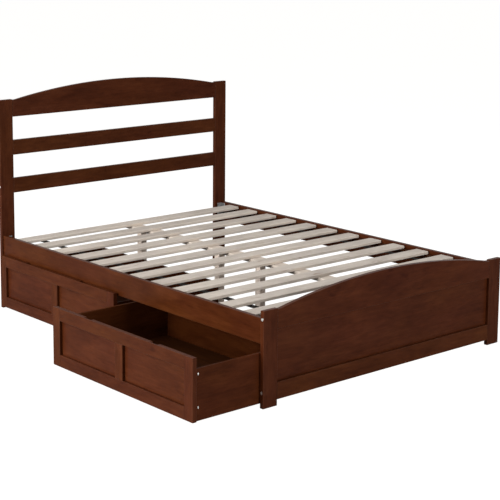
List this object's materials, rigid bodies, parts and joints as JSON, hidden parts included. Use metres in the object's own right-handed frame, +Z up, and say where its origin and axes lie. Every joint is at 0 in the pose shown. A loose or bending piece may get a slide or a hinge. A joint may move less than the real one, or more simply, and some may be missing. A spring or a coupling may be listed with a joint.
{
  "type": "platform bed with storage drawers",
  "caption": "Wooden platform bed with an arched slatted headboard, a low arched footboard, bare slats and rolling storage drawers along one side.",
  "frame": {"origin": "on the floor under the centre of the bounding box, with the drawer nearest the foot pulled out as stored", "axes": "+Y from the footboard to the headboard, +Z up, the drawers come out towards -X"},
  "size_m": [1.8035, 1.975, 1.1066],
  "materials": {
    "walnut_stained_wood": "dark walnut stain, satin lacquer",
    "stained_drawer_board": "dark stain, dull",
    "bare_pale_wood": "sanded, unfinished",
    "dark_webbing": "woven tape",
    "zinc_plated_steel": "zinc plated",
    "black_plastic": "moulded"
  },
  "bodies": {
    "bed_frame": {"headboard_post_left": "walnut_stained_wood", "headboard_post_right": "walnut_stained_wood", "headboard_top_rail": "walnut_stained_wood", "headboard_middle_rail": "walnut_stained_wood", "headboard_lower_rail": "walnut_stained_wood", "footboard_post_left": "walnut_stained_wood", "footboard_post_right": "walnut_stained_wood", "footboard_top_rail": "walnut_stained_wood", "footboard_panel": "walnut_stained_wood", "footboard_bottom_rail": "walnut_stained_wood", "side_rail_left": "walnut_stained_wood", "side_rail_right": "walnut_stained_wood", "slat_cleat_left": "walnut_stained_wood", "slat_cleat_right": "walnut_stained_wood", "slat_01": "bare_pale_wood", "slat_02": "bare_pale_wood", "slat_03": "bare_pale_wood", "slat_04": "bare_pale_wood", "slat_05": "bare_pale_wood", "slat_06": "bare_pale_wood", "slat_07": "bare_pale_wood", "slat_08": "bare_pale_wood", "slat_09": "bare_pale_wood", "slat_10": "bare_pale_wood", "slat_11": "bare_pale_wood", "slat_12": "bare_pale_wood", "slat_strap_left": "dark_webbing", "slat_strap_right": "dark_webbing", "center_support_board": "bare_pale_wood", "center_leg_1": "bare_pale_wood", "center_leg_2": "bare_pale_wood", "center_leg_3": "bare_pale_wood", "center_leg_4": "bare_pale_wood", "corner_bracket_head_left": "zinc_plated_steel", "corner_bracket_head_right": "zinc_plated_steel", "corner_bracket_foot_left": "zinc_plated_steel", "corner_bracket_foot_right": "zinc_plated_steel"},
    "head_drawer": {"head_drawer_front_frame": "walnut_stained_wood", "head_drawer_front_panel_left": "walnut_stained_wood", "head_drawer_front_panel_right": "walnut_stained_wood", "head_drawer_side_left": "stained_drawer_board", "head_drawer_side_right": "stained_drawer_board", "head_drawer_back": "stained_drawer_board", "head_drawer_bottom": "stained_drawer_board"},
    "head_drawer_wheel_front_left": {"head_drawer_wheel_front_left": "black_plastic"},
    "head_drawer_wheel_front_right": {"head_drawer_wheel_front_right": "black_plastic"},
    "head_drawer_wheel_back_left": {"head_drawer_wheel_back_left": "black_plastic"},
    "head_drawer_wheel_back_right": {"head_drawer_wheel_back_right": "black_plastic"},
    "foot_drawer": {"foot_drawer_front_frame": "walnut_stained_wood", "foot_drawer_front_panel_left": "walnut_stained_wood", "foot_drawer_front_panel_right": "walnut_stained_wood", "foot_drawer_side_left": "stained_drawer_board", "foot_drawer_side_right": "stained_drawer_board", "foot_drawer_back": "stained_drawer_board", "foot_drawer_bottom": "stained_drawer_board"},
    "foot_drawer_wheel_front_left": {"foot_drawer_wheel_front_left": "black_plastic"},
    "foot_drawer_wheel_front_right": {"foot_drawer_wheel_front_right": "black_plastic"},
    "foot_drawer_wheel_back_left": {"foot_drawer_wheel_back_left": "black_plastic"},
    "foot_drawer_wheel_back_right": {"foot_drawer_wheel_back_right": "black_plastic"}
  },
  "joints": [
    {"name": "head_drawer_slide", "type": "slide", "parent": "bed_frame", "child": "head_drawer", "axis": [-1, 0, 0], "range_m": [0, 0.48]},
    {"name": "head_drawer_wheel_front_left_spin", "type": "hinge", "parent": "head_drawer", "child": "head_drawer_wheel_front_left", "pos_m": [-0.44025, 0.884, 0.016], "axis": [0, -1, 0], "range_deg": [-20, 1739]},
    {"name": "head_drawer_wheel_front_right_spin", "type": "hinge", "parent": "head_drawer", "child": "head_drawer_wheel_front_right", "pos_m": [-0.44025, 0.062, 0.016], "axis": [0, -1, 0], "range_deg": [-20, 1739]},
    {"name": "head_drawer_wheel_back_left_spin", "type": "hinge", "parent": "head_drawer", "child": "head_drawer_wheel_back_left", "pos_m": [-0.02325, 0.884, 0.016], "axis": [0, -1, 0], "range_deg": [-20, 1739]},
    {"name": "head_drawer_wheel_back_right_spin", "type": "hinge", "parent": "head_drawer", "child": "head_drawer_wheel_back_right", "pos_m": [-0.02325, 0.062, 0.016], "axis": [0, -1, 0], "range_deg": [-20, 1739]},
    {"name": "foot_drawer_slide", "type": "slide", "parent": "bed_frame", "child": "foot_drawer", "axis": [-1, 0, 0], "range_m": [-0.3285, 0.1515]},
    {"name": "foot_drawer_wheel_front_left_spin", "type": "hinge", "parent": "foot_drawer", "child": "foot_drawer_wheel_front_left", "pos_m": [-0.76875, -0.0855, 0.016], "axis": [0, -1, 0], "range_deg": [-1196, 563]},
    {"name": "foot_drawer_wheel_front_right_spin", "type": "hinge", "parent": "foot_drawer", "child": "foot_drawer_wheel_front_right", "pos_m": [-0.76875, -0.9075, 0.016], "axis": [0, -1, 0], "range_deg": [-1196, 563]},
    {"name": "foot_drawer_wheel_back_left_spin", "type": "hinge", "parent": "foot_drawer", "child": "foot_drawer_wheel_back_left", "pos_m": [-0.35175, -0.0855, 0.016], "axis": [0, -1, 0], "range_deg": [-1196, 563]},
    {"name": "foot_drawer_wheel_back_right_spin", "type": "hinge", "parent": "foot_drawer", "child": "foot_drawer_wheel_back_right", "pos_m": [-0.35175, -0.9075, 0.016], "axis": [0, -1, 0], "range_deg": [-1196, 563]}
  ],
  "couplings": [
    {"joint": "head_drawer_wheel_front_left_spin", "follows": "head_drawer_slide", "rad_per_m": 62.5},
    {"joint": "head_drawer_wheel_front_right_spin", "follows": "head_drawer_slide", "rad_per_m": 62.5},
    {"joint": "head_drawer_wheel_back_left_spin", "follows": "head_drawer_slide", "rad_per_m": 62.5},
    {"joint": "head_drawer_wheel_back_right_spin", "follows": "head_drawer_slide", "rad_per_m": 62.5},
    {"joint": "foot_drawer_wheel_front_left_spin", "follows": "foot_drawer_slide", "rad_per_m": 62.5},
    {"joint": "foot_drawer_wheel_front_right_spin", "follows": "foot_drawer_slide", "rad_per_m": 62.5},
    {"joint": "foot_drawer_wheel_back_left_spin", "follows": "foot_drawer_slide", "rad_per_m": 62.5},
    {"joint": "foot_drawer_wheel_back_right_spin", "follows": "foot_drawer_slide", "rad_per_m": 62.5}
  ]
}
